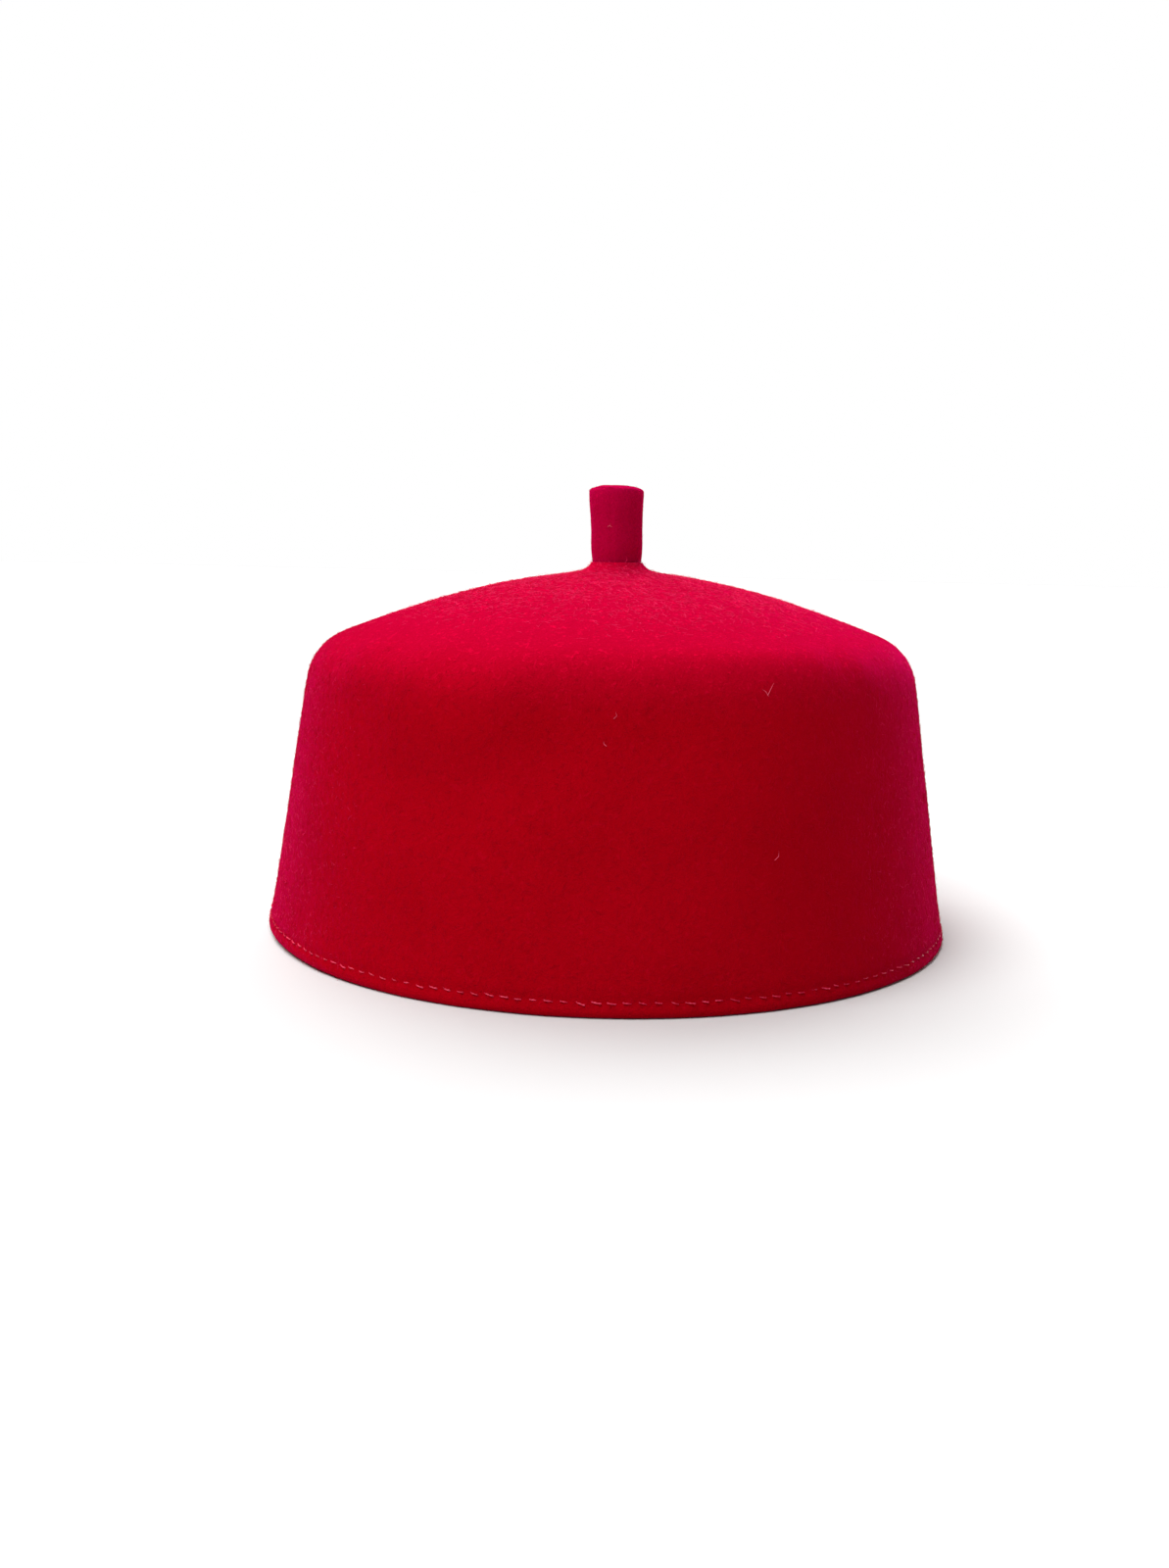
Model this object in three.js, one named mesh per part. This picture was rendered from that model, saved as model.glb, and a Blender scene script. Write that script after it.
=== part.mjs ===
// A red felt cap of the Igbo kind. The crown is one piece of blocked wool felt: a drum that widens
// towards the rim, a rounded shoulder and a low dome. Its rim is turned in as a stitched hem, and a
// stub of tightly rolled felt stands in a hole at the middle of the dome.
// Sizes are in millimetres and +Z is up. The origin is the middle of the rim's underside, and the
// front of the cap faces -Y. An outline is a list of points, x from the axis and y above the rim.
import * as THREE from "three";

// The felt and the drum
const FELT = 2.2;
const RIM_HALF_WIDTH = 93;
const DEPTH_SHARE = 1.04;
const SIDE_TOP_RADIUS = 83;
const SIDE_TOP_HEIGHT = 68.2;
const SHOULDER_ARC = 15.6;
// How much taller the cap is at its right edge than along its middle, as a share of the height
const SIDEWAYS_RISE = 0.0104;

// The dome, with the slopes in degrees where it leaves the shoulder and where it reaches the neck
const DOME_FOOT_SLOPE = 21.4;
const DOME_NECK_SLOPE = 6;
const NECK_RADIUS = 13;
const NECK_HEIGHT = 96.6;
const COLLAR_RISE = 3.2;
const COLLAR_SAG = 0.7;

// The hem, which is the same felt turned in and stitched down
const HEM_HEIGHT = 8;
const RIM_CORNER = 1.4;

// The stub of rolled felt: its flare, its pressed top edge, and the free end that laps at the front
const STUB_FOOT_RADIUS = 6.5;
const STUB_FLARE = 0.7;
const STUB_TOP_HEIGHT = 120.2;
const STUB_TOP_EDGE = 1;
const STUB_TOP_CROWN = 0.35;
const STUB_SHANK = 2.6;
const LAP_STEP = 0.5;
const LAP_AZIMUTH = -86;
const SEAT_GAP = 0.3;
// How far the stub and the felt around it stand to the right of the middle
const TIP_SHIFT = 0.7;

// How finely the outlines are cut into facets
const CROWN_SEGMENTS = 72;
const STUB_SEGMENTS = 36;
const STEPS = { side: 9, shoulder: 6, dome: 8, collar: 3, corner: 3, stub: 5, stubEdge: 3 };

// Where the oval of the drum starts and is complete, as a distance from the axis
const ROUND_WITHIN = 12;
const OVAL_BEYOND = 72;
// Where the shift of the tip starts to fade and where it ends, as a distance from the axis
const SHIFT_WITHIN = 8;
const SHIFT_BEYOND = 32;

// Soft dents and swellings pressed into the felt. The azimuth is counted from the front, positive
// to the right. Along and across are half-lengths, and tilt turns the long way up to the right.
const DENTS = [
  { azimuth: -19, height: 48.5, along: 26, across: 13, tilt: 25, depth: 1.5 },
  { azimuth: -25, height: 64, along: 28, across: 13, tilt: 12, depth: -1.7 },
  { azimuth: -44, height: 74, along: 14, across: 10, tilt: 0, depth: -0.5 },
  { azimuth: 30, height: 77, along: 34, across: 10, tilt: 0, depth: -0.7 },
  { azimuth: 44, height: 43, along: 30, across: 18, tilt: 12, depth: 0.5 },
];
// A dent pushes towards this height on the axis
const DENT_FOCUS = 40;

const radians = THREE.MathUtils.degToRad;

function point(x, y) {
  return new THREE.Vector2(x, y);
}

// The points after the first, for a stretch that carries on from another
function rest(points) {
  return points.slice(1);
}

// The drum's straight side, from just above the rim to the shoulder
function side() {
  const foot = point(RIM_HALF_WIDTH, RIM_CORNER);
  const top = point(SIDE_TOP_RADIUS, SIDE_TOP_HEIGHT);
  return new THREE.LineCurve(foot, top).getPoints(STEPS.side);
}

// The shoulder's arc, which leaves the side without a corner
function shoulder() {
  const run = RIM_HALF_WIDTH - SIDE_TOP_RADIUS;
  const startTurn = Math.atan2(run, SIDE_TOP_HEIGHT - RIM_CORNER);
  const endTurn = radians(90 - DOME_FOOT_SLOPE);
  const middleX = SIDE_TOP_RADIUS - SHOULDER_ARC * Math.cos(startTurn);
  const middleY = SIDE_TOP_HEIGHT - SHOULDER_ARC * Math.sin(startTurn);
  const arc = new THREE.EllipseCurve(
    middleX, middleY, SHOULDER_ARC, SHOULDER_ARC, startTurn, endTurn,
  );
  return arc.getPoints(STEPS.shoulder);
}

// A point reached from another by going up a slope, inwards where the distance is positive
function upSlope(from, slope, distance) {
  const turn = radians(slope);
  return point(from.x - distance * Math.cos(turn), from.y + distance * Math.sin(turn));
}

// The dome's curve, from the end of the shoulder to the neck around the stub
function dome(start) {
  const neck = point(NECK_RADIUS, NECK_HEIGHT);
  const handle = start.distanceTo(neck) / 3;
  return new THREE.CubicBezierCurve(
    start,
    upSlope(start, DOME_FOOT_SLOPE, handle),
    upSlope(neck, DOME_NECK_SLOPE, -handle),
    neck,
  ).getPoints(STEPS.dome);
}

const HOLE_RADIUS = STUB_FOOT_RADIUS + LAP_STEP + SEAT_GAP;

// The felt drawn up around the foot of the stub
function collar() {
  return new THREE.QuadraticBezierCurve(
    point(NECK_RADIUS, NECK_HEIGHT),
    point(HOLE_RADIUS + COLLAR_SAG, NECK_HEIGHT + COLLAR_SAG),
    point(HOLE_RADIUS, NECK_HEIGHT + COLLAR_RISE),
  ).getPoints(STEPS.collar);
}

// A line of points moved towards the inside of the cap by a distance
function inset(points, distance) {
  return points.map((here, i) => {
    const before = points[Math.max(i - 1, 0)];
    const after = points[Math.min(i + 1, points.length - 1)];
    const along = after.clone().sub(before).normalize();
    return point(here.x - along.y * distance, here.y + along.x * distance);
  });
}

// Where a line of points, rising along the side, passes a height
function atHeight(points, height) {
  const i = points.findIndex((p) => p.y > height);
  const low = points[i - 1];
  const high = points[i];
  return low.clone().lerp(high, (height - low.y) / (high.y - low.y));
}

// A rounded corner of the rim, between two points, bulging towards the third
function corner(from, bulge, to) {
  return new THREE.QuadraticBezierCurve(from, bulge, to).getPoints(STEPS.corner);
}

// The closed outline of the crown's wall: up the outside, down the hole for the stub, down the
// inside, over the raw edge of the hem and along the rim's flat underside
function crownOutline() {
  const drum = side();
  const turn = shoulder();
  const top = dome(turn.at(-1));
  const outside = [...drum, ...rest(turn), ...rest(top), ...rest(collar())];

  const wall = inset([...drum, ...rest(turn), ...rest(top)], FELT);
  const ceiling = wall.at(-1);
  const climb = (ceiling.x - HOLE_RADIUS) * Math.tan(radians(DOME_NECK_SLOPE));
  const mouth = point(HOLE_RADIUS, ceiling.y + climb);
  const lining = inset(drum, 2 * FELT);
  const hemSeat = atHeight(wall, HEM_HEIGHT);
  const hemEdge = atHeight(lining, HEM_HEIGHT);
  const inside = wall.filter((p) => p.y > HEM_HEIGHT).reverse();

  const hemFoot = lining[0];
  const outerFoot = drum[0];
  const innerTurn = corner(
    point(hemFoot.x, RIM_CORNER), point(hemFoot.x, 0), point(hemFoot.x + RIM_CORNER, 0),
  );
  const outerTurn = corner(
    point(outerFoot.x - RIM_CORNER, 0), point(outerFoot.x, 0), outerFoot,
  );
  return [...outside, mouth, ...inside, hemSeat, hemEdge, ...innerTurn, ...outerTurn];
}

// How far a dent reaches at a place on the cap, from 0 to 1. Around is in degrees from the front.
function dentShare(dent, around, radius, height) {
  const turn = THREE.MathUtils.euclideanModulo(around - dent.azimuth + 180, 360) - 180;
  const across = radians(turn) * radius;
  const up = height - dent.height;
  const tilt = radians(dent.tilt);
  const u = (across * Math.cos(tilt) + up * Math.sin(tilt)) / dent.along;
  const v = (up * Math.cos(tilt) - across * Math.sin(tilt)) / dent.across;
  return Math.exp(-2 * (u * u + v * v));
}

// The rim stays as it is, so that the cap stands flat, and dents fade in above the hem
function dentDepth(around, radius, height) {
  const fade = THREE.MathUtils.smoothstep(height, HEM_HEIGHT * 0.5, HEM_HEIGHT * 2);
  const depths = DENTS.map((dent) => dent.depth * dentShare(dent, around, radius, height));
  return fade * depths.reduce((sum, depth) => sum + depth, 0);
}

// Gives a turned crown its dents, its oval, its slight rise to one side and its shifted tip
function shapeCrown(place) {
  const radius = Math.hypot(place.x, place.y);
  const around = THREE.MathUtils.radToDeg(Math.atan2(place.x, -place.y));
  const oval = THREE.MathUtils.smoothstep(radius, ROUND_WITHIN, OVAL_BEYOND);
  const inward = new THREE.Vector3(0, 0, DENT_FOCUS).sub(place).normalize();
  place.addScaledVector(inward, dentDepth(around, radius, place.z));
  place.y *= 1 + (DEPTH_SHARE - 1) * oval;
  place.z *= 1 + (SIDEWAYS_RISE * place.x) / RIM_HALF_WIDTH;
  place.x += TIP_SHIFT * (1 - THREE.MathUtils.smoothstep(radius, SHIFT_WITHIN, SHIFT_BEYOND));
}

// Turns the round stub into a roll: its radius grows by the lap's step over one turn from the lap
function shapeStub(place) {
  const around = THREE.MathUtils.radToDeg(Math.atan2(place.y, place.x));
  const share = THREE.MathUtils.euclideanModulo(around - LAP_AZIMUTH, 360) / 360;
  const growth = 1 + (LAP_STEP / STUB_FOOT_RADIUS) * share;
  place.x = place.x * growth + TIP_SHIFT;
  place.y *= growth;
}

// Half the section of the stub, from the middle of its hidden foot to the middle of its top
function stubOutline() {
  const foot = NECK_HEIGHT - FELT - STUB_SHANK;
  const seat = NECK_HEIGHT + COLLAR_RISE;
  const shaftTop = STUB_TOP_HEIGHT - STUB_TOP_EDGE - STUB_TOP_CROWN;
  const topRadius = STUB_FOOT_RADIUS + STUB_FLARE;
  const shaft = new THREE.QuadraticBezierCurve(
    point(STUB_FOOT_RADIUS, seat),
    point(STUB_FOOT_RADIUS, (seat + shaftTop) / 2),
    point(topRadius, shaftTop),
  ).getPoints(STEPS.stub);
  const edge = new THREE.QuadraticBezierCurve(
    shaft.at(-1),
    point(topRadius, shaftTop + STUB_TOP_EDGE),
    point(topRadius - STUB_TOP_EDGE, shaftTop + STUB_TOP_EDGE),
  ).getPoints(STEPS.stubEdge);
  return [
    point(0, foot), point(STUB_FOOT_RADIUS, foot), ...shaft, ...rest(edge), point(0, STUB_TOP_HEIGHT),
  ];
}

// Turns an outline about the axis, stands it up along +Z and moves each point by a shaping function
function turned(outline, segments, shape) {
  const geometry = new THREE.LatheGeometry(outline, segments).rotateX(Math.PI / 2);
  const places = geometry.getAttribute("position");
  const place = new THREE.Vector3();
  for (let i = 0; i < places.count; i += 1) {
    place.fromBufferAttribute(places, i);
    shape(place);
    places.setXYZ(i, place.x, place.y, place.z);
  }
  geometry.computeVertexNormals();
  return geometry;
}

const crownFelt = new THREE.MeshStandardMaterial({ color: 0xb4081f, roughness: 0.95, metalness: 0 });
const stubFelt = new THREE.MeshStandardMaterial({ color: 0xa00628, roughness: 0.95, metalness: 0 });

function crown() {
  const outline = crownOutline();
  const mesh = new THREE.Mesh(
    turned([...outline, outline[0].clone()], CROWN_SEGMENTS, shapeCrown), crownFelt,
  );
  mesh.name = "felt_crown";
  return mesh;
}

function stub() {
  const mesh = new THREE.Mesh(turned(stubOutline(), STUB_SEGMENTS, shapeStub), stubFelt);
  mesh.name = "stub";
  return mesh;
}

const cap = new THREE.Group();
cap.add(crown(), stub());

export default cap;
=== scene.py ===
import math

import bpy
import numpy as np
from mathutils import Matrix, Vector
from mathutils.geometry import interpolate_bezier


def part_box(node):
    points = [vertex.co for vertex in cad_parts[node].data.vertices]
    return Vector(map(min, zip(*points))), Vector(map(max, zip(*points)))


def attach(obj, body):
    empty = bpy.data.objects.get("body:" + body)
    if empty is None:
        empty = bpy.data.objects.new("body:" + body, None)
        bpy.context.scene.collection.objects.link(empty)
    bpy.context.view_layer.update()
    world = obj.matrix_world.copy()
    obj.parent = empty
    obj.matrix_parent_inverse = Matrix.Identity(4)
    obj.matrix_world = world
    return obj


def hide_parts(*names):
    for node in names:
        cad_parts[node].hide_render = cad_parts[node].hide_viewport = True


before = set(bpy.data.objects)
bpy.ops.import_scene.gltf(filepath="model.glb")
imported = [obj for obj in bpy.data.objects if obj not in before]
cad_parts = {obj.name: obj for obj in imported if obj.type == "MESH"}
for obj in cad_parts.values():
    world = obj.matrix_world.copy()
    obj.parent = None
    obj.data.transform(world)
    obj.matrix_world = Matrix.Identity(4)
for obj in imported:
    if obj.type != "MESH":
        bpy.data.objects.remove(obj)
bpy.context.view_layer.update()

# The cap stands on its rim with its front towards -Y. Lengths are metres, so a millimetre is MM.
MM = 0.001
_, CROWN_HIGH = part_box("felt_crown")
STUB_LOW, STUB_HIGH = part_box("stub")
RIM_HALF_WIDTH = CROWN_HIGH.x
RIM_HALF_DEPTH = CROWN_HIGH.y
# Outward is the way that leads away from this place in the hollow
HOLLOW_MIDDLE = (0, 0, 40 * MM)
MERGE_WITHIN = 0.005 * MM


# Small helpers for modelling


def to_edit_mode(piece):
    """Opens one piece for editing with nothing selected in it"""
    bpy.ops.object.select_all(action="DESELECT")
    piece.select_set(True)
    bpy.context.view_layer.objects.active = piece
    bpy.ops.object.mode_set(mode="EDIT")
    bpy.ops.mesh.select_all(action="DESELECT")


def to_object_mode():
    bpy.ops.object.mode_set(mode="OBJECT")


def started(name):
    """The primitive that was just added, renamed and open for editing"""
    piece = bpy.context.object
    piece.name = name
    piece.data.name = name
    to_edit_mode(piece)
    return piece


def close_and_face_out(piece):
    """Merges the points that lie on each other and turns the faces outwards"""
    to_edit_mode(piece)
    bpy.ops.mesh.select_all(action="SELECT")
    bpy.ops.mesh.remove_doubles(threshold=MERGE_WITHIN)
    bpy.ops.mesh.normals_make_consistent(inside=False)
    to_object_mode()


def apply_modifier(piece, kind, **settings):
    """Adds a modifier, gives it its settings and applies it"""
    bpy.context.view_layer.objects.active = piece
    modifier = piece.modifiers.new(kind.title(), kind)
    for key, value in settings.items():
        setattr(modifier, key, value)
    bpy.ops.object.modifier_apply(modifier=modifier.name)


def smooth(piece, angle):
    """Shades a piece smooth, and leaves edges sharper than the angle in degrees crisp"""
    bpy.ops.object.select_all(action="DESELECT")
    piece.select_set(True)
    bpy.context.view_layer.objects.active = piece
    bpy.ops.object.shade_smooth_by_angle(angle=math.radians(angle))


def get_places(piece):
    """The places of all vertices as an array with a row each"""
    places = np.empty(len(piece.data.vertices) * 3)
    piece.data.vertices.foreach_get("co", places)
    return places.reshape(-1, 3)


def set_places(piece, places):
    piece.data.vertices.foreach_set("co", places.ravel())
    piece.data.update()


def smoothstep(value, low, high):
    """Rises softly from nought at the low value to one at the high value"""
    share = np.clip((value - low) / (high - low), 0, 1)
    return share * share * (3 - 2 * share)


def finish_piece(piece, material):
    """Gives a piece its finish and lets it go with the cap"""
    piece.data.materials.clear()
    piece.data.materials.append(material)
    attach(piece, "root")
    return piece


# Materials


def new_material(name):
    """A new material with its node tree and its shader"""
    material = bpy.data.materials.new(name)
    material.use_nodes = True
    return material, material.node_tree, material.node_tree.nodes["Principled BSDF"]


def feed(tree, socket, value):
    """Links a socket where its value comes from another node, and sets it otherwise"""
    if isinstance(value, bpy.types.NodeSocket):
        tree.links.new(value, socket)
    else:
        socket.default_value = value


def add_noise(tree, size, detail=4.0, roughness=0.55, distortion=0.0, stretch=(1, 1, 1)):
    """A noise on Object coordinates whose blotches measure about the given size"""
    coordinates = tree.nodes.new("ShaderNodeTexCoord")
    mapping = tree.nodes.new("ShaderNodeMapping")
    mapping.inputs["Scale"].default_value = stretch
    noise = tree.nodes.new("ShaderNodeTexNoise")
    noise.inputs["Scale"].default_value = 1 / size
    noise.inputs["Detail"].default_value = detail
    noise.inputs["Roughness"].default_value = roughness
    noise.inputs["Distortion"].default_value = distortion
    tree.links.new(coordinates.outputs["Object"], mapping.inputs["Vector"])
    tree.links.new(mapping.outputs["Vector"], noise.inputs["Vector"])
    return noise.outputs["Fac"]


def add_ramp(tree, value, *stops):
    """A colour ramp with a stop for each pair of a place and a colour"""
    ramp = tree.nodes.new("ShaderNodeValToRGB")
    elements = ramp.color_ramp.elements
    while len(elements) < len(stops):
        elements.new(0.5)
    for element, (place, color) in zip(elements, stops):
        element.position = place
        element.color = (*color, 1)
    tree.links.new(value, ramp.inputs["Fac"])
    return ramp.outputs["Color"]


def add_mix(tree, share, first, second):
    """Mixes two colours by a share"""
    mix = tree.nodes.new("ShaderNodeMix")
    mix.data_type = "RGBA"
    sockets = (mix.inputs["Factor"], mix.inputs["A"], mix.inputs["B"])
    for socket, value in zip(sockets, (share, first, second)):
        feed(tree, socket, value)
    return mix.outputs["Result"]


def add_math(tree, operation, *values):
    """A sum or product of sockets and plain numbers"""
    node = tree.nodes.new("ShaderNodeMath")
    node.operation = operation
    for socket, value in zip(node.inputs, values):
        feed(tree, socket, value)
    return node.outputs["Value"]


def add_height_rise(tree, low, high):
    """Rises softly from nought to one between two heights in metres"""
    coordinates = tree.nodes.new("ShaderNodeTexCoord")
    split = tree.nodes.new("ShaderNodeSeparateXYZ")
    rise = tree.nodes.new("ShaderNodeMapRange")
    rise.interpolation_type = "SMOOTHSTEP"
    rise.inputs["From Min"].default_value = low
    rise.inputs["From Max"].default_value = high
    tree.links.new(coordinates.outputs["Object"], split.inputs["Vector"])
    tree.links.new(split.outputs["Z"], rise.inputs["Value"])
    return rise.outputs["Result"]


def add_bumps(tree, shader, *layers):
    """Stacks bumps on a shader, each a pattern, the height it stands for and its strength"""
    below = None
    for pattern, height, strength in layers:
        bump = tree.nodes.new("ShaderNodeBump")
        bump.inputs["Distance"].default_value = height
        bump.inputs["Strength"].default_value = strength
        tree.links.new(pattern, bump.inputs["Height"])
        if below:
            tree.links.new(below, bump.inputs["Normal"])
        below = bump.outputs["Normal"]
    tree.links.new(below, shader.inputs["Normal"])


def paler(color):
    """The colour of the fibre ends that stand out of a felt of the given colour, made paler still as
    painted sheen
    """
    return tuple(min(1, value * 1.7 + 0.001) for value in color)


def felt_material(name, deep, full, sheen_rose, top_sheen_from, top_sheen_to):
    """Milled wool felt: cloudy dye and matted fibres, with painted sheen that lightens it to rose
    above a height in metres
    """
    material, tree, shader = new_material(name)
    clouds = add_noise(tree, 30 * MM, detail=3, roughness=0.5)
    mottle = add_noise(tree, 2.6 * MM, detail=5, roughness=0.6, distortion=0.8)
    mat = add_noise(tree, 1.7 * MM, detail=4, roughness=0.65, distortion=2.2)
    grain = add_noise(tree, 0.3 * MM, detail=2, roughness=0.6)
    # Painted sheen and top light: from the lower height up, the colour turns to the lighter rose
    top_sheen = add_height_rise(tree, top_sheen_from, top_sheen_to)
    dye = add_ramp(tree, clouds, (0.3, deep), (0.7, full))
    worked = add_mix(tree, 0.3, dye, add_ramp(tree, mottle, (0.3, deep), (0.7, full)))
    with_top_sheen = add_mix(tree, top_sheen, worked, (*sheen_rose, 1))
    flecks = add_ramp(tree, mat, (0.55, (0, 0, 0)), (0.66, (1, 1, 1)))
    # Partly real fibre ends, partly painted sheen: the pale flecks cover a tenth of the felt low down
    # and most of it at the top
    amount = add_math(tree, "MULTIPLY_ADD", top_sheen, 0.75, 0.1)
    share = add_math(tree, "MULTIPLY", flecks, amount)
    color = add_mix(tree, share, with_top_sheen, (*paler(sheen_rose), 1))
    tree.links.new(color, shader.inputs["Base Color"])
    shader.inputs["Roughness"].default_value = 0.95
    shader.inputs["Specular IOR Level"].default_value = 0
    shader.inputs["Sheen Weight"].default_value = 0.45
    shader.inputs["Sheen Roughness"].default_value = 0.33
    shader.inputs["Sheen Tint"].default_value = (1.0, 0.008, 0.24, 1)
    add_bumps(
        tree, shader,
        (mottle, 0.3 * MM, 0.5),
        (mat, 0.26 * MM, 0.9),
        (grain, 0.06 * MM, 0.6),
    )
    return material


def thread_material(name):
    """Sewing thread that shines a little along its twist, with pale pink patches painted on as
    highlights
    """
    material, tree, shader = new_material(name)
    twist = add_noise(tree, 0.25 * MM, detail=2, stretch=(1, 1, 2.5))
    # Painted highlights: pale pink patches where the thread seems to catch the light
    glint_patches = add_noise(tree, 9 * MM, detail=2)
    dyed = add_ramp(tree, twist, (0.35, (0.4, 0.003, 0.02)), (0.65, (0.65, 0.012, 0.06)))
    glinting = add_ramp(tree, twist, (0.35, (0.6, 0.01, 0.05)), (0.65, (1.0, 0.075, 0.17)))
    share = add_ramp(tree, glint_patches, (0.42, (0, 0, 0)), (0.62, (1, 1, 1)))
    tree.links.new(add_mix(tree, share, dyed, glinting), shader.inputs["Base Color"])
    shader.inputs["Roughness"].default_value = 0.5
    shader.inputs["Specular IOR Level"].default_value = 0.2
    shader.inputs["Sheen Weight"].default_value = 0.2
    shader.inputs["Sheen Tint"].default_value = (1.0, 0.08, 0.2, 1)
    add_bumps(tree, shader, (twist, 0.05 * MM, 0.5))
    return material


def fibre_material(name, color):
    """A loose wool fibre of one even colour: the felt's dye, or a paler rose as painted sheen"""
    material, _, shader = new_material(name)
    shader.inputs["Base Color"].default_value = (*color, 1)
    shader.inputs["Roughness"].default_value = 0.8
    shader.inputs["Specular IOR Level"].default_value = 0.02
    shader.inputs["Sheen Weight"].default_value = 0.2
    shader.inputs["Sheen Tint"].default_value = (1.0, 0.02, 0.22, 1)
    return material


# The rose colours and the heights where they start are painted sheen, on the crown's dome and on the
# stub's top
CROWN_FELT = felt_material(
    "crown_felt",
    deep=(0.35, 0.0004, 0.0045),
    full=(0.42, 0.0006, 0.0065),
    sheen_rose=(0.49, 0.0006, 0.026),
    top_sheen_from=62 * MM,
    top_sheen_to=95 * MM,
)
STUB_FELT = felt_material(
    "stub_felt",
    deep=(0.4, 0.0006, 0.036),
    full=(0.47, 0.0008, 0.046),
    sheen_rose=(0.5, 0.001, 0.055),
    top_sheen_from=112 * MM,
    top_sheen_to=124 * MM,
)
THREAD = thread_material("thread")
# The rose and pink fibres are paler than the felt as painted sheen, for the dome and the flanks where
# light grazes them
FIBRE_DEEP = fibre_material("fibre_deep", (0.46, 0.0008, 0.01))
FIBRE_ROSE_SHEEN = fibre_material("fibre_rose_sheen", (0.88, 0.03, 0.14))
FIBRE_PINK_SHEEN = fibre_material("fibre_pink_sheen", (0.8, 0.03, 0.12))
FIBRE_PALE = fibre_material("fibre_pale", (0.85, 0.12, 0.2))

# The crown. Its section is laid out in millimetres.
FELT_THICKNESS = 2.2
# The drum loses 10 mm of its radius on 66.8 mm of its height
SIDE_SLOPE = math.atan2(10.0, 66.8)
# The outside just above the hem
DRUM_FOOT = (
    # height, how far it stands out of the drum's line
    (6.2, 0.12),
    (8.0, 0.0),
)
# The outline from the drum's foot to the felt round the stub. The slope is in degrees above the
# inward direction, and a reach is how far the line keeps to it.
CROWN_KNOTS = (
    # radius, height, slope, reach before, reach after, steps to the next
    (91.8, 8.0, 81.5, 0, 20, 11),
    (83.0, 68.2, 81.5, 20, 5.6, 8),
    (73.3, 80.4, 21.4, 5.6, 20.8, 12),
    (13.0, 96.6, 6.0, 20.8, 2.6, 5),
    (6.95, 99.8, 80.0, 2.0, 0, 0),
)
# The hole for the stub. Its foot lies a little above the inside of the dome.
HOLE_RADIUS = 6.95
HOLE_HEIGHTS = (99.6, 97.0)
HOLE_FOOT_RADIUS = 7.15
HOLE_FOOT_RISE = 0.5
# The hem, from the wall's inside over the raw edge and round the rim to the outside. The depth is
# counted in from the drum's outside. Above HEM_CLEAR the inside follows the outside.
HEM_CLEAR = 11
HEM_ROWS = (
    # height, depth
    (9.5, 2.2),
    (6.0, 2.25),
    (4.2, 2.3),
    (4.2, 2.45),
    (6.2, 2.55),
    (7.9, 2.6),
    (8.2, 3.5),
    (7.8, 4.6),
    (6.2, 4.8),
    (4.6, 4.65),
    (3.5, 4.3),
    (2.5, 4.6),
    (1.2, 4.55),
    (0.25, 3.9),
    (0.0, 2.9),
    (0.0, 1.0),
    (0.25, -0.05),
    (1.2, -0.5),
    (2.4, -0.35),
    (3.5, 0.12),
    (4.9, -0.1),
)
# The dome is round at its middle and as oval as the rim from its edge on
ROUND_WITHIN = 12 * MM
OVAL_BEYOND = 72 * MM
# The right side is taller by this share of the height, and the left side lower
SIDE_RISE = 0.0104
# The tip stands this far to the right, and the dome round it follows
TIP_SHIFT = 0.7 * MM
SHIFT_WITHIN = 8 * MM
SHIFT_BEYOND = 32 * MM
DENTS = (
    # azimuth from the front in degrees, height, reach and depth in millimetres
    (-29, 49, 12, 0.5),
    (-21, 47, 16, 1.7),
    (-11, 53, 15, 1.0),
    (-34, 63, 16, -1.6),
    (-25, 63, 17, -2.0),
    (-16, 67, 15, -1.2),
    (-45, 74, 14, -0.6),
    (-38, 71, 15, -0.8),
    (-26, 72, 15, -0.6),
    (-54, 81, 14, 0.5),
    (-39, 82, 15, 0.9),
    (-24, 82, 15, 0.7),
    (-54, 50, 40, -1.8),
    (25, 52, 34, -0.9),
    (2, 77, 14, 0.3),
    (31, 78, 26, -0.4),
    (9, 79, 11, -0.5),
    (18, 79, 11, -1.0),
    (27, 79, 11, -1.1),
    (36, 78, 11, -0.9),
    (45, 77, 11, -0.6),
    (40, 44, 30, 0.7),
)
# The seam, whose needle holes draw the felt in
STITCHES = 168
STITCH_HEIGHT = 3.5 * MM
PUCKER = 0.22 * MM
PUCKER_SPREAD = 1.1 * MM
HEM_HALF_THICKNESS = 2.4 * MM
FLOOR_GAP = 0.02 * MM
# The rim is bent up a little at the front left, so it doesn't touch the floor there. The azimuth
# and the reach are in degrees.
RIM_LIFT = 0.75 * MM
RIM_LIFT_AZIMUTH = -66
RIM_LIFT_REACH = 19
RIM_LIFT_FADES_AT = 30 * MM


def drum_radius(height):
    """The drum's outside radius at a height, both in millimetres"""
    return RIM_HALF_WIDTH / MM - height * math.tan(SIDE_SLOPE)


def way_in(slope):
    """The direction inwards and up at a slope in degrees"""
    lift = math.radians(slope)
    return Vector((-math.cos(lift), math.sin(lift), 0))


def crown_outside():
    """The crown's outside from above the hem to the felt round the stub"""
    points = [Vector((drum_radius(height) + out, height)) for height, out in DRUM_FOOT]
    for here, there in zip(CROWN_KNOTS, CROWN_KNOTS[1:]):
        radius, height, slope, _, reach, steps = here
        start = Vector((radius, height, 0))
        leave = start + reach * way_in(slope)
        radius, height, slope, reach, _, _ = there
        end = Vector((radius, height, 0))
        arrive = end - reach * way_in(slope)
        stretch = interpolate_bezier(start, leave, arrive, end, steps + 1)
        points += [point.to_2d() for point in stretch[1:]]
    return points


def moved_in(points, distance):
    """A line of points moved towards the inside of the cap"""
    moved = []
    for i, here in enumerate(points):
        along = points[min(i + 1, len(points) - 1)] - points[max(i - 1, 0)]
        along.normalize()
        moved.append(here + distance * Vector((-along.y, along.x)))
    return moved


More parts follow.
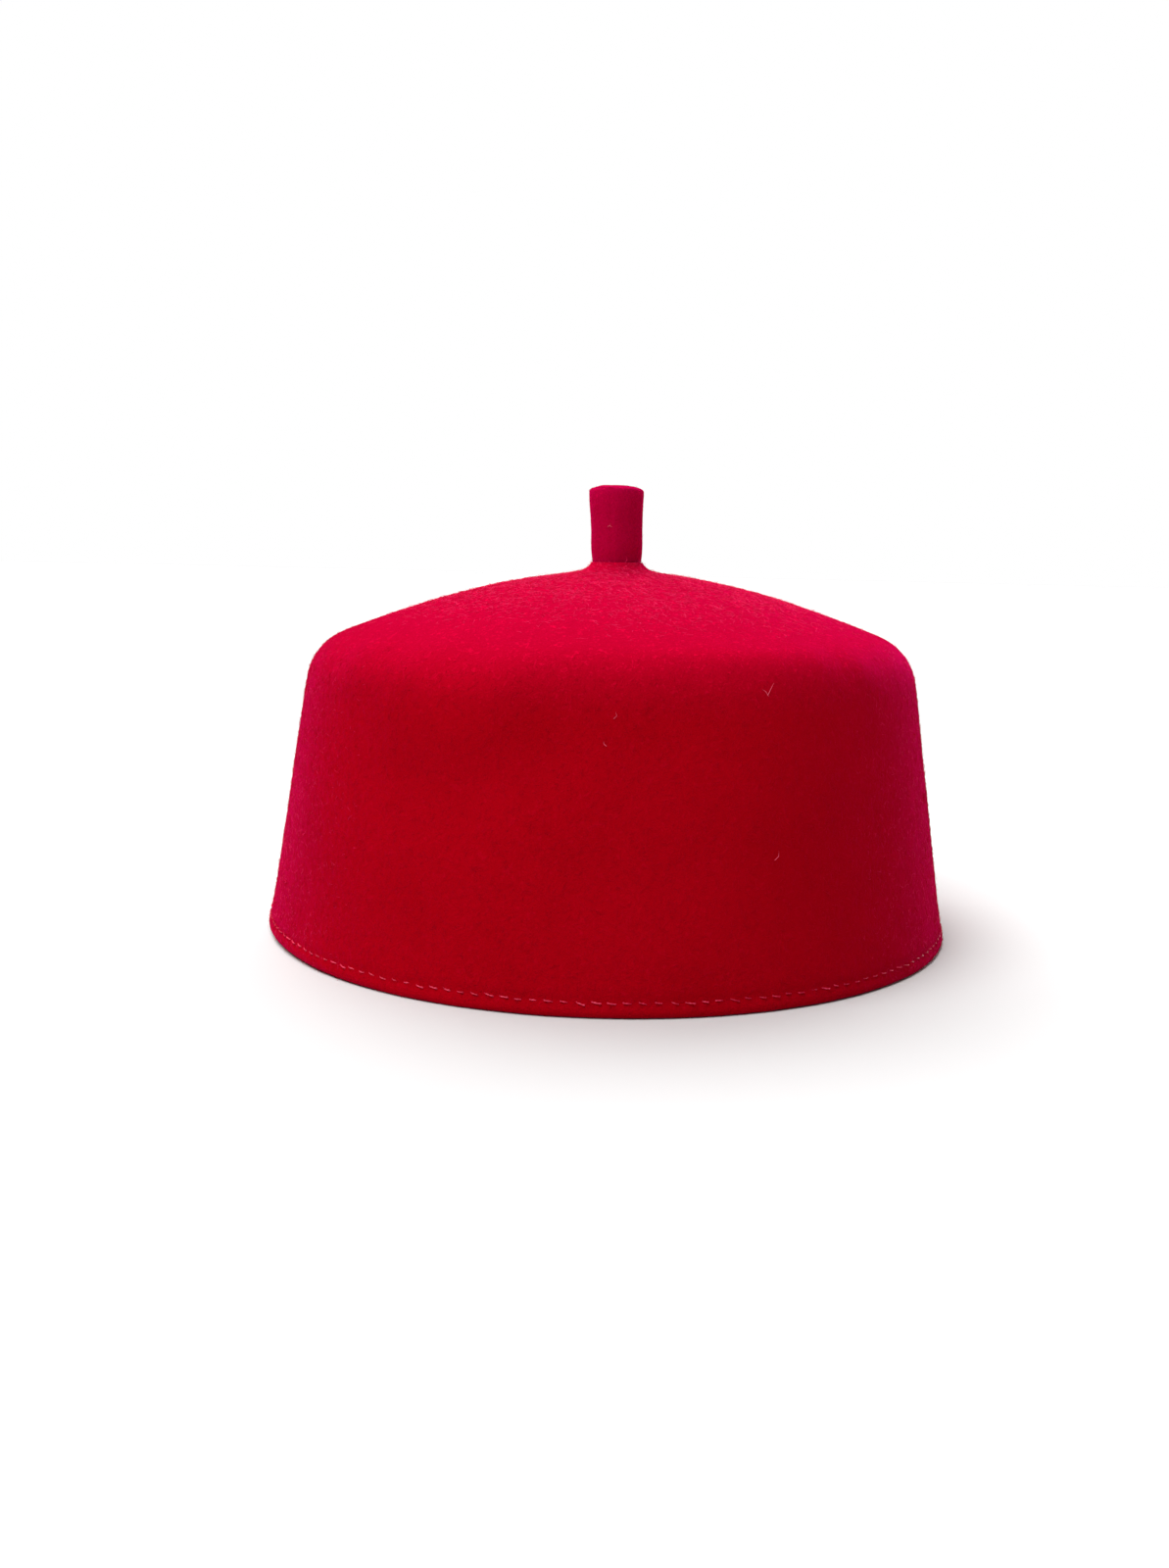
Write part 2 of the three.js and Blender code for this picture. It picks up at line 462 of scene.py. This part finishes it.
def crown_section():
    """The closed outline of the wall, up the outside and back down the inside to the rim"""
    outside = crown_outside()
    collar_steps = CROWN_KNOTS[-2][-1]
    inside = moved_in(outside[:-collar_steps], FELT_THICKNESS)
    hole = [Vector((HOLE_RADIUS, height)) for height in HOLE_HEIGHTS]
    hole.append(Vector((HOLE_FOOT_RADIUS, inside[-1].y + HOLE_FOOT_RISE)))
    down = [point for point in reversed(inside) if point.y > HEM_CLEAR]
    hem = [Vector((drum_radius(height) - depth, height)) for height, depth in HEM_ROWS]
    return outside + hole + down + hem


def make_crown():
    """Spins the wall's section round the axis, then ovals, dents and roughens it"""
    section = crown_section()
    start = (section[0].x * MM, 0, section[0].y * MM)
    bpy.ops.mesh.primitive_plane_add(size=2 * MM, location=start)
    crown = started("felt_cap")
    bpy.ops.mesh.select_all(action="SELECT")
    bpy.ops.mesh.merge(type="CENTER")
    for here, there in zip(section, section[1:] + section[:1]):
        step = (there - here) * MM
        bpy.ops.mesh.extrude_region_move(TRANSFORM_OT_translate={"value": (step.x, 0, step.y)})
    bpy.ops.mesh.select_all(action="SELECT")
    bpy.ops.transform.rotate(value=math.pi / 2, orient_axis="Z", center_override=(0, 0, 0))
    bpy.ops.mesh.spin(steps=STITCHES, angle=2 * math.pi, center=(0, 0, 0), axis=(0, 0, 1))
    to_object_mode()
    bpy.ops.object.transform_apply(location=True, rotation=True, scale=True)
    close_and_face_out(crown)
    oval_and_rise(crown)
    for azimuth, height, reach, depth in DENTS:
        press(crown, azimuth, height, reach, depth)
    apply_modifier(crown, "SUBSURF", levels=1, render_levels=1)
    roughen(crown, size=13 * MM, height=0.22 * MM)
    pucker(crown)
    lift_rim(crown)
    smooth(crown, 60)
    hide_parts("felt_crown")
    return finish_piece(crown, CROWN_FELT)


def oval_and_rise(piece):
    """Makes the drum a little deeper than wide, its right side taller and its tip off centre"""
    places = get_places(piece)
    radius = np.hypot(places[:, 0], places[:, 1])
    oval = smoothstep(radius, ROUND_WITHIN, OVAL_BEYOND)
    places[:, 1] *= 1 + (RIM_HALF_DEPTH / RIM_HALF_WIDTH - 1) * oval
    places[:, 2] *= 1 + SIDE_RISE * places[:, 0] / RIM_HALF_WIDTH
    places[:, 0] += TIP_SHIFT * (1 - smoothstep(radius, SHIFT_WITHIN, SHIFT_BEYOND))
    set_places(piece, places)


def outermost_vertex(piece, azimuth, height):
    """The vertex of the outside nearest to an azimuth in degrees and a height in millimetres"""
    places = get_places(piece)
    turn = math.radians(azimuth)
    radius = drum_radius(height) * MM
    aim = np.array((radius * math.sin(turn), -radius * math.cos(turn), height * MM))
    return int(np.argmin(np.linalg.norm(places - aim, axis=1)))


def press(piece, azimuth, height, reach, depth):
    """Presses one soft dent into the felt, or lifts it where the depth is negative"""
    index = outermost_vertex(piece, azimuth, height)
    to_edit_mode(piece)
    to_object_mode()
    vertex = piece.data.vertices[index]
    vertex.select = True
    inward = (Vector(HOLLOW_MIDDLE) - vertex.co).normalized()
    bpy.ops.object.mode_set(mode="EDIT")
    bpy.ops.transform.translate(
        value=inward * depth * MM,
        use_proportional_edit=True,
        proportional_edit_falloff="SMOOTH",
        proportional_size=reach * MM,
    )
    to_object_mode()


def roughen(piece, size, height):
    """Lets the surface wander a little, as blocked felt does"""
    clouds = bpy.data.textures.new(piece.name + "_unevenness", "CLOUDS")
    clouds.noise_scale = size
    apply_modifier(piece, "DISPLACE", texture=clouds, strength=height, mid_level=0.5)


def pucker(piece):
    """Draws the felt in at the needle holes of the hem's seam"""
    places = get_places(piece)
    turn = np.arctan2(places[:, 1] / RIM_HALF_DEPTH, places[:, 0] / RIM_HALF_WIDTH)
    near = np.exp(-(((places[:, 2] - STITCH_HEIGHT) / PUCKER_SPREAD) ** 2))
    pull = near * PUCKER * np.cos(STITCHES * turn)
    radius = np.hypot(places[:, 0], places[:, 1])
    outer = radius > drum_radius(STITCH_HEIGHT / MM) * MM - HEM_HALF_THICKNESS
    sign = np.where(outer, -1, 1)
    places[:, :2] *= (1 + sign * pull / radius)[:, None]
    places[:, 2] = np.maximum(places[:, 2], FLOOR_GAP)
    set_places(piece, places)


def rim_lift(places):
    """How far the rim's bend lifts each place, counted round from the front and up from the floor"""
    azimuth = np.degrees(np.arctan2(places[..., 0], -places[..., 1]))
    bend = np.exp(-(((azimuth - RIM_LIFT_AZIMUTH) / RIM_LIFT_REACH) ** 2))
    return RIM_LIFT * bend * (1 - smoothstep(places[..., 2], 0, RIM_LIFT_FADES_AT))


def lift_rim(piece):
    """Bends the rim up at the front left"""
    places = get_places(piece)
    places[:, 2] += rim_lift(places)
    set_places(piece, places)


# The stub. A strip of felt is shaped flat and then rolled up. In the grid it is made from, X runs
# along the strip to its free end, Y up its width and Z through its thickness.
STRIP_STEPS = 110
STRIP_ROWS = 14
# Powers that crowd the grid's lines towards the free end and towards the top edge
STRIP_CROWDING = 1.3
ROW_CROWDING = 1.6
STRIP_GAP = 0.06 * MM
STRIP_LEAST_THICKNESS = 0.35 * MM
STUB_TURNS = 3.25
STUB_PITCH = 2.05 * MM
STUB_CORE = 0.15 * MM
STUB_OUTER = 6.3 * MM
# The free end is tucked in over a short part of a turn
STUB_LAP = 0.22 * MM
STUB_LAP_AZIMUTH = math.radians(-96)
STUB_END_TUCK = 0.45 * MM
STUB_TUCK_TURNS = 0.06
# Heights above the felt round the stub, between which the foot widens, and where the top starts to
STUB_FOOT_FLARE = 0.3 * MM
STUB_FOOT_FROM = -0.4 * MM
STUB_FOOT_TO = 2.5 * MM
STUB_TOP_FLARE = 0.45 * MM
STUB_TOP_FROM = 9 * MM
# The roll has four soft corners where it was pressed, which stand out by this share
STUB_CORNERS = 0.075
# The top is rounded over its edge and sinks from the middle out in its uppermost part
STUB_TOP_EDGE = 0.6 * MM
STUB_TOP_ROUNDING = 0.9 * MM
STUB_ROUNDING_DEPTH = 6 * MM
STUB_ROUNDING_FROM = 3.8 * MM
STUB_ROUNDING_TO = 7.6 * MM
STUB_MIDDLE_RISE = 0.4
# The top leans back by this share of the tip's shift
STUB_LEAN_BACK = 0.7


def roll_radius(turns_from_end):
    """The outer face's radius of the roll, counted back in turns from its free end"""
    tucked = STUB_END_TUCK * (1 - smoothstep(turns_from_end, 0, STUB_TUCK_TURNS))
    last_turn = STUB_OUTER + STUB_LAP * (1 - turns_from_end) - tucked
    inner_turns = STUB_OUTER - STUB_PITCH * (turns_from_end - 1)
    return np.where(turns_from_end < 1, last_turn, inner_turns)


def rolled_up(strip):
    """Rolls the places of the flat strip up round the axis, with its flares and its rounded top"""
    along, up, through = strip.T
    from_end = STUB_TURNS * (0.5 - along) ** STRIP_CROWDING
    outer = roll_radius(from_end)
    inner = np.maximum(roll_radius(from_end + 1) + STRIP_GAP, STUB_CORE)
    radius = np.where(through > 0, outer, np.minimum(inner, outer - STRIP_LEAST_THICKNESS))
    turn = STUB_LAP_AZIMUTH - 2 * math.pi * from_end
    share = 1 - (0.5 - up) ** ROW_CROWDING
    height = STUB_LOW.z + share * (STUB_HIGH.z - STUB_LOW.z)
    seat = CROWN_HIGH.z
    foot_flare = STUB_FOOT_FLARE * smoothstep(height, seat + STUB_FOOT_FROM, seat + STUB_FOOT_TO)
    top_flare = STUB_TOP_FLARE * smoothstep(height, seat + STUB_TOP_FROM, STUB_HIGH.z)
    above_edge = np.clip((height - STUB_HIGH.z) / STUB_TOP_EDGE + 1, 0, 1)
    edge = STUB_TOP_EDGE * (1 - np.sqrt(1 - above_edge**2)) * (from_end < 1) * (through > 0)
    pressed = 1 + STUB_CORNERS * (1 - np.abs(np.sin(2 * (turn - STUB_LAP_AZIMUTH))))
    flare = (foot_flare + top_flare) * radius / STUB_OUTER
    radius = (radius + flare - edge) * np.where(height > seat, pressed, 1)
    near_top = smoothstep(height, STUB_HIGH.z - STUB_ROUNDING_DEPTH, STUB_HIGH.z)
    rounding = smoothstep(radius, STUB_ROUNDING_FROM, STUB_ROUNDING_TO) - STUB_MIDDLE_RISE
    height = height - STUB_TOP_ROUNDING * near_top * rounding
    lean = TIP_SHIFT * (1 - STUB_LEAN_BACK * smoothstep(height, seat, STUB_HIGH.z))
    return np.stack([radius * np.cos(turn) + lean, radius * np.sin(turn), height], axis=1)


def make_stub():
    """Cuts a strip, gives it thickness, rolls it up and softens its edges"""
    bpy.ops.mesh.primitive_grid_add(
        x_subdivisions=STRIP_STEPS, y_subdivisions=STRIP_ROWS, size=1,
    )
    stub = started("rolled_stub")
    to_object_mode()
    apply_modifier(stub, "SOLIDIFY", thickness=1, offset=0)
    set_places(stub, rolled_up(get_places(stub)))
    close_and_face_out(stub)
    apply_modifier(
        stub, "BEVEL",
        width=0.3 * MM,
        segments=2,
        limit_method="ANGLE",
        angle_limit=math.radians(50),
    )
    apply_modifier(stub, "SUBSURF", levels=1, render_levels=1)
    roughen(stub, size=5 * MM, height=0.16 * MM)
    smooth(stub, 50)
    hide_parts("stub")
    return finish_piece(stub, STUB_FELT)


# The hem's seam
STITCH_LENGTH = 2.1 * MM
STITCH_THICKNESS = 0.36 * MM
# How uneven the stitches are
LENGTH_SHARES = (0.75, 1.15)
TILT = 0.13
TILT_SPREAD = 0.07
SINK = 0.02 * MM
SINK_SPREAD = 0.08 * MM
HEIGHT_SPREAD = 0.09 * MM
# Rays that look for the felt start at these shares of the rim's radius
START_OUTSIDE = 1.2
START_INSIDE = 0.7
# The plies of a stitch, in shares of its thickness, and its twist from end to end
PLY_THICKNESS = 0.55
PLY_OFFSET = 0.25
STITCH_RISE = 0.3
STITCH_DIVE = 0.9
STITCH_TWIST = 2.2 * math.pi


def copied(name, pattern, places, material):
    """Joins copies of a small pattern mesh. Places holds an array of the vertices of each copy."""
    count, vertices, _ = places.shape
    faces = []
    for i in range(count):
        faces += [tuple(v + i * vertices for v in face) for face in pattern]
    mesh = bpy.data.meshes.new(name)
    mesh.from_pydata(places.reshape(-1, 3).tolist(), [], faces)
    mesh.update()
    piece = bpy.data.objects.new(name, mesh)
    bpy.context.scene.collection.objects.link(piece)
    close_and_face_out(piece)
    return finish_piece(piece, material)


def taken(piece):
    """The vertices and faces of a pattern that was modelled, which is then put away"""
    places = get_places(piece)
    faces = [tuple(face.vertices) for face in piece.data.polygons]
    bpy.data.objects.remove(piece)
    return places, faces


def make_stitch_pattern():
    """One ply of a stitch, a unit long along X and a unit thick, cut so that it can be bent"""
    bpy.ops.mesh.primitive_cylinder_add(
        vertices=4, radius=0.5, depth=1, end_fill_type="TRIFAN", rotation=(0, math.pi / 2, 0),
    )
    stitch = started("stitch")
    to_object_mode()
    bpy.ops.object.transform_apply(location=True, rotation=True, scale=True)
    to_edit_mode(stitch)
    for cut in (-0.4, -0.2, 0, 0.2, 0.4):
        bpy.ops.mesh.select_all(action="SELECT")
        bpy.ops.mesh.bisect(plane_co=(cut, 0, 0), plane_no=(1, 0, 0))
    to_object_mode()
    return taken(stitch)


def bent_ply(pattern, ply, length, tilt, lift):
    """A ply's places along, out of and up the felt, twisted and with its ends drawn in"""
    along, side, top = pattern.T
    twist = ply + STITCH_TWIST * along
    thickness = STITCH_THICKNESS
    across = side * thickness * PLY_THICKNESS + PLY_OFFSET * thickness * np.cos(twist)
    out = top * thickness * PLY_THICKNESS + PLY_OFFSET * thickness * np.sin(twist)
    run = along * length
    dive = STITCH_DIVE * thickness * (2 * along) ** 4
    out = out + STITCH_RISE * thickness - dive + lift
    return np.stack([run, out, across + run * tilt], axis=1)


def stitch_ring(name, felt, outside, seed):
    """A round of stitches on one side of the hem, each laid on the felt"""
    pattern, faces = make_stitch_pattern()
    chance = np.random.default_rng(seed)
    tilts = chance.normal(TILT, TILT_SPREAD, STITCHES) * (-1 if outside else 1)
    lengths = STITCH_LENGTH * chance.uniform(*LENGTH_SHARES, STITCHES)
    lifts = chance.normal(-SINK, SINK_SPREAD, STITCHES)
    heights = STITCH_HEIGHT + chance.normal(0, HEIGHT_SPREAD, STITCHES)
    start_share = START_OUTSIDE if outside else START_INSIDE
    places = []
    for i in range(STITCHES):
        turn = 2 * math.pi * (i + 0.5) / STITCHES
        ray = Vector((RIM_HALF_WIDTH * math.cos(turn), RIM_HALF_DEPTH * math.sin(turn), 0))
        start = ray * start_share + Vector((0, 0, heights[i]))
        start.z += rim_lift(np.array(start))
        _, spot, normal, _ = felt.ray_cast(start, -ray if outside else ray)
        normal = Vector((normal.x, normal.y, 0)).normalized()
        tangent = Vector((-normal.y, normal.x, 0))
        axes = np.array((tangent, normal, (0, 0, 1)))
        for ply in (0, math.pi):
            local = bent_ply(pattern, ply, lengths[i], tilts[i], lifts[i])
            places.append(np.array(spot) + local @ axes)
    ring = copied(name, faces, np.array(places), THREAD)
    smooth(ring, 80)
    return ring


# Wool fibres on the surface
FIBRE_KNOT = 1.7
LENGTH_SCATTER = 0.35
BEND_SCATTER = 0.22
# How the rises of a fibre are spread: the shape and the scale of a gamma distribution
RISE_SHAPE = 1.6
RISE_SCALE = 0.6
# A fibre rises as an arch and towards its tip, and its root sinks in by a share of its thickness
RISE_ARCH = 0.55
RISE_TIP = 0.75
ROOT_SINK = 0.3
FIBRE_FLOOR_GAP = 0.05 * MM
# The few pale fibres that cling to the front
LOOSE_THICKNESS = 0.16 * MM
LOOSE_CLEARANCE = 0.35
LOOSE_ARCH = 0.12
LOOSE_RAY_START = -200
LOOSE_FIBRES = (
    # across, height and length in millimetres, direction in degrees, bend
    (35.2, 70.2, 3.8, 56, -0.06),
    (35.4, 70.1, 2.2, 132, 0.05),
    (0.6, 65.0, 1.7, 75, 0.3),
    (-0.8, 59.0, 1.4, 120, -0.2),
    (37.6, 33.5, 2.4, 60, 0.15),
    (-1.4, 109.2, 0.9, 90, 0.1),
    (-1.5, 109.4, 0.8, 215, 0.1),
    (-1.3, 109.4, 0.8, -35, 0.1),
)


def make_fibre_pattern():
    """One short fibre a unit long along X, three-sided, with a knot at its middle"""
    bpy.ops.mesh.primitive_cone_add(
        vertices=3,
        radius1=0.5,
        radius2=0,
        depth=1,
        rotation=(0, math.pi / 2, 0),
        location=(0.5, 0, 0),
    )
    fibre = started("fibre")
    to_object_mode()
    bpy.ops.object.transform_apply(location=True, rotation=True, scale=True)
    to_edit_mode(fibre)
    bpy.ops.mesh.select_all(action="SELECT")
    bpy.ops.mesh.bisect(plane_co=(0.5, 0, 0), plane_no=(1, 0, 0))
    to_object_mode()
    places, faces = taken(fibre)
    middle = np.abs(places[:, 0] - 0.5) < 0.1
    places[middle, 1:] *= FIBRE_KNOT
    return places, faces


def triangles_of(piece):
    """Corners, middle, normal and area of the triangles that a piece's four-sided faces split into

    Blender may number the faces of a subdivided piece otherwise in each run. They are put in order
    along a slanting line here, and each starts at its first corner along it, so that the fibres
    fall in the same places.
    """
    slant = np.array((1, math.sqrt(2), math.sqrt(3)))
    index = np.empty(len(piece.data.loops), int)
    piece.data.loops.foreach_get("vertex_index", index)
    faces = get_places(piece)[index.reshape(-1, 4)]
    first = np.argmin(faces @ slant, axis=1)
    turned = (first[:, None] + np.arange(4)) % 4
    faces = np.take_along_axis(faces, turned[:, :, None], axis=1)
    faces = faces[np.argsort(faces.mean(axis=1) @ slant)]
    corners = np.concatenate((faces[:, [0, 1, 2]], faces[:, [0, 2, 3]]))
    cross = np.cross(corners[:, 1] - corners[:, 0], corners[:, 2] - corners[:, 0])
    length = np.linalg.norm(cross, axis=1)
    return corners, corners.mean(axis=1), cross / length[:, None], length / 2


def strew_fibres(name, felt, wanted, count, length, thickness, lift, material, seed):
    """Scatters short fibres on the outside of the felt where a test on place and normal allows"""
    chance = np.random.default_rng(seed)
    pattern, faces = make_fibre_pattern()
    corners, middle, normal, area = triangles_of(felt)
    weight = area * wanted(middle, normal)
    pick = chance.choice(len(area), size=count, p=weight / weight.sum())
    share = chance.dirichlet((1, 1, 1), count)
    root = (corners[pick] * share[:, :, None]).sum(axis=1)
    out = normal[pick]
    random_way = chance.normal(size=(count, 3))
    along = random_way - (random_way * out).sum(axis=1)[:, None] * out
    along /= np.linalg.norm(along, axis=1)[:, None]
    across = np.cross(out, along)
    lengths = length * chance.lognormal(0, LENGTH_SCATTER, count)
    rises = lift * chance.gamma(RISE_SHAPE, RISE_SCALE, count)
    bends = chance.normal(0, BEND_SCATTER, count)
    x, y, z = pattern.T
    arch = 4 * x * (1 - x)
    climb = RISE_ARCH * arch + RISE_TIP * x
    run = x[None, :] * lengths[:, None]
    side = y[None, :] * thickness + bends[:, None] * lengths[:, None] * arch[None, :]
    rise = z[None, :] * thickness + rises[:, None] * climb[None, :] - ROOT_SINK * thickness
    places = (
        root[:, None, :]
        + run[:, :, None] * along[:, None, :]
        + side[:, :, None] * across[:, None, :]
        + rise[:, :, None] * out[:, None, :]
    )
    places[:, :, 2] = np.maximum(places[:, :, 2], FIBRE_FLOOR_GAP)
    return copied(name, faces, places, material)


def lay_loose_fibres(name, felts, thickness):
    """Lays the loose fibres on the front, each from a place in its own direction"""
    pattern, faces = make_fibre_pattern()
    x, y, z = pattern.T
    arch = 4 * x * (1 - x)
    places = []
    for across, height, length, direction, bend in LOOSE_FIBRES:
        start = Vector((across, LOOSE_RAY_START, height)) * MM
        hits = [felt.ray_cast(start, Vector((0, 1, 0))) for felt in felts]
        _, spot, normal, _ = min((hit for hit in hits if hit[0]), key=lambda hit: hit[1].y)
        side = Vector((0, 0, 1)).cross(normal).normalized()
        turn = math.radians(direction)
        along = side * math.cos(turn) + normal.cross(side) * math.sin(turn)
        axes = np.array((along, along.cross(normal), normal))
        local = np.stack([
            x * length * MM,
            y * thickness + bend * arch * length * MM,
            z * thickness + LOOSE_CLEARANCE * thickness + LOOSE_ARCH * arch * length * MM,
        ], axis=1)
        places.append(np.array(spot) + local @ axes)
    return copied(name, faces, np.array(places), FIBRE_PALE)


# Where the fibres lie. Each test weighs the triangles of a felt by their middles and normals.
FACES_DOWN = -0.3
FUZZ_FOOT = 0.8 * MM


def is_outside(middle, normal):
    """The triangles that face away from the hollow and not down"""
    outward = ((middle - np.array(HOLLOW_MIDDLE)) * normal).sum(axis=1) > 0
    return outward * (normal[:, 2] > FACES_DOWN)


def on_dome(middle, normal):
    """The dome, with ever fewer fibres towards the shoulder"""
    return is_outside(middle, normal) * smoothstep(middle[:, 2], 81 * MM, 93 * MM)


def on_flanks(middle, normal):
    """The left and right flanks, with ever fewer fibres towards the front and the back"""
    flanks = smoothstep(np.abs(middle[:, 0]), 55 * MM, 85 * MM) * (middle[:, 2] > 1.5 * MM)
    return is_outside(middle, normal) * flanks


def on_drum(middle, normal):
    """The drum from close above the rim up to the shoulder, where the fibres thin out"""
    side = is_outside(middle, normal) * (middle[:, 2] > FUZZ_FOOT)
    return side * (1 - smoothstep(middle[:, 2], 70 * MM, 80 * MM))


def on_drum_front(middle, normal):
    return on_drum(middle, normal) * (middle[:, 1] < 0)


def on_drum_back(middle, normal):
    return on_drum(middle, normal) * (middle[:, 1] >= 0)


def on_stub(middle, normal):
    """The stub's outside above the crown, with the outer part of its top"""
    return (middle[:, 2] > CROWN_HIGH.z) * (np.hypot(middle[:, 0], middle[:, 1]) > 5.5 * MM)


# The floor, the light and the camera


def make_floor():
    """A pale floor of 40 m, so wide that its edge doesn't show"""
    bpy.ops.mesh.primitive_plane_add(size=40)
    floor = bpy.context.object
    floor.name = "floor"
    material, _, shader = new_material("pale_floor")
    shader.inputs["Base Color"].default_value = (0.65, 0.65, 0.65, 1)
    shader.inputs["Roughness"].default_value = 0.9
    shader.inputs["Specular IOR Level"].default_value = 0.1
    floor.data.materials.append(material)


def make_world():
    """A pale studio that lights the cap evenly, and looks plain white behind it"""
    world = bpy.data.worlds.new("studio")
    world.use_nodes = True
    tree = world.node_tree
    background = tree.nodes["Background"]
    seen = tree.nodes.new("ShaderNodeBackground")
    seen.inputs["Color"].default_value = (1, 1, 1, 1)
    seen.inputs["Strength"].default_value = 1.0
    background.inputs["Color"].default_value = (1, 1, 1, 1)
    background.inputs["Strength"].default_value = 0.05
    path = tree.nodes.new("ShaderNodeLightPath")
    mix = tree.nodes.new("ShaderNodeMixShader")
    tree.links.new(path.outputs["Is Camera Ray"], mix.inputs["Fac"])
    tree.links.new(background.outputs["Background"], mix.inputs[1])
    tree.links.new(seen.outputs["Background"], mix.inputs[2])
    tree.links.new(mix.outputs["Shader"], tree.nodes["World Output"].inputs["Surface"])
    bpy.context.scene.world = world


def add_sun(name, direction, strength, spread):
    """Even light from far away. The direction is where it comes from, and the spread is in degrees."""
    light = bpy.data.lights.new(name, "SUN")
    light.energy = strength
    light.angle = math.radians(spread)
    lamp = bpy.data.objects.new(name, light)
    lamp.rotation_mode = "QUATERNION"
    lamp.rotation_quaternion = Vector(direction).to_track_quat("Z", "Y")
    bpy.context.scene.collection.objects.link(lamp)


def make_lights():
    make_world()
    add_sun("front_softbox", (-0.37, -0.33, 1), strength=2.8, spread=40)
    add_sun("back_softbox", (-0.24, 0.6, 1), strength=2.9, spread=50)
    add_sun("front_fill", (-0.25, -1, 0.2), strength=0.27, spread=90)
    add_sun("right_rim", (1, 1.25, 0.03), strength=2.9, spread=36)


def make_camera():
    """The photograph's view: close by, a little above the rim and turned slightly"""
    distance = 406 * MM
    elevation = math.radians(6.74)
    roll = math.radians(1.34)
    aim = Vector((0, 0, 50 * MM))
    data = bpy.data.cameras.new("photo_view")
    data.sensor_width = 36
    data.lens = 33.2
    data.shift_x = -0.0164
    data.shift_y = -0.0279
    data.clip_start = 0.01
    camera = bpy.data.objects.new("photo_view", data)
    camera.location = aim + distance * Vector((0, -math.cos(elevation), math.sin(elevation)))
    straight = (aim - camera.location).to_track_quat("-Z", "Y").to_matrix()
    camera.rotation_euler = (straight @ Matrix.Rotation(roll, 3, "Z")).to_euler()
    bpy.context.scene.collection.objects.link(camera)
    bpy.context.scene.camera = camera


crown = make_crown()
stub = make_stub()
stitch_ring("hem_stitches", crown, outside=True, seed=3)
stitch_ring("hem_stitches_inside", crown, outside=False, seed=4)
FUZZ = (
    # name, felt, where, count, then length, thickness and lift in millimetres, fibre, seed
    # The rose and pink fibres carry painted sheen
    ("fuzz_dome", crown, on_dome, 11000, 1.8, 0.075, 0.18, FIBRE_ROSE_SHEEN, 11),
    ("fuzz_flanks", crown, on_flanks, 9000, 1.0, 0.055, 0.16, FIBRE_PINK_SHEEN, 15),
    ("fuzz_front", crown, on_drum_front, 16000, 1.4, 0.07, 0.15, FIBRE_DEEP, 12),
    ("fuzz_back", crown, on_drum_back, 16000, 1.4, 0.07, 0.15, FIBRE_DEEP, 13),
    ("fuzz_stub", stub, on_stub, 1500, 0.8, 0.035, 0.1, FIBRE_DEEP, 14),
)
for name, felt, where, count, length, thickness, lift, fibre, seed in FUZZ:
    strew_fibres(name, felt, where, count, length * MM, thickness * MM, lift * MM, fibre, seed)
lay_loose_fibres("loose_fibres", (crown, stub), LOOSE_THICKNESS)

make_floor()
make_lights()
make_camera()
bpy.context.scene.view_settings.view_transform = "Standard"
